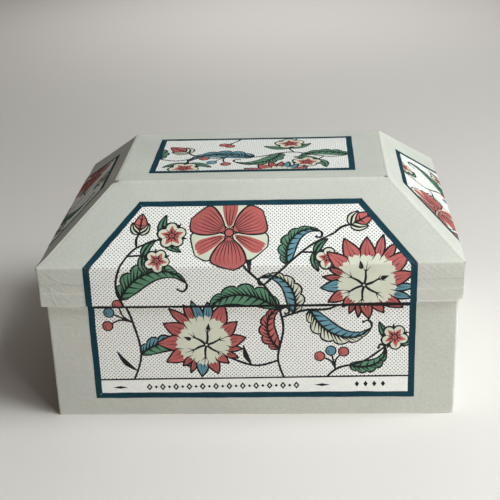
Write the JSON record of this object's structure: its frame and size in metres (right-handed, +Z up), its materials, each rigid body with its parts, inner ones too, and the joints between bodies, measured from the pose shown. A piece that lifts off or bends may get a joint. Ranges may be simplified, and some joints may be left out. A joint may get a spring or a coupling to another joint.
{
  "type": "hat box",
  "caption": "Rectangular covered-board hat box with a lift-off lid: overhanging rim, four sloping panels, flat top, and bordered floral paper labels.",
  "frame": {"origin": "centre of the underside", "axes": "+X along the long side, towards the right as seen from the front; -Y out of the front; +Z up, the way the lid lifts"},
  "size_m": [0.4212, 0.3242, 0.2316],
  "materials": {
    "greyboard": "matte",
    "covering_paper": "matte",
    "lining_paper": "matte",
    "label_border": "matte",
    "label_print": "matte"
  },
  "bodies": {
    "base": {"base_back_board": "greyboard", "base_back_label_border": "label_border", "base_back_label_print": "label_print", "base_bottom_paper": "lining_paper", "base_floor_board": "greyboard", "base_floor_lining": "lining_paper", "base_front_board": "greyboard", "base_front_label_border": "label_border", "base_front_label_print": "label_print", "base_left_board": "greyboard", "base_left_label_border": "label_border", "base_left_label_print": "label_print", "base_right_board": "greyboard", "base_right_label_border": "label_border", "base_right_label_print": "label_print", "base_wall_cover": "covering_paper", "base_wall_lining": "lining_paper"},
    "lid": {"lid_back_label_border": "label_border", "lid_back_label_print": "label_print", "lid_back_rim_board": "greyboard", "lid_back_slope_board": "greyboard", "lid_back_slope_lining": "lining_paper", "lid_back_slope_paper": "covering_paper", "lid_front_label_border": "label_border", "lid_front_label_print": "label_print", "lid_front_rim_board": "greyboard", "lid_front_slope_board": "greyboard", "lid_front_slope_lining": "lining_paper", "lid_front_slope_paper": "covering_paper", "lid_left_label_border": "label_border", "lid_left_label_print": "label_print", "lid_left_rim_board": "greyboard", "lid_left_slope_board": "greyboard", "lid_left_slope_lining": "lining_paper", "lid_left_slope_paper": "covering_paper", "lid_right_label_border": "label_border", "lid_right_label_print": "label_print", "lid_right_rim_board": "greyboard", "lid_right_slope_board": "greyboard", "lid_right_slope_lining": "lining_paper", "lid_right_slope_paper": "covering_paper", "lid_rim_cover": "covering_paper", "lid_rim_lining": "lining_paper", "lid_top_board": "greyboard", "lid_top_label_border": "label_border", "lid_top_label_print": "label_print", "lid_top_lining": "lining_paper", "lid_top_paper": "covering_paper"}
  },
  "joints": [
    {"name": "lid_lift", "type": "slide", "parent": "base", "child": "lid", "axis": [0, 0, 1], "range_m": [0, 0.2]}
  ]
}
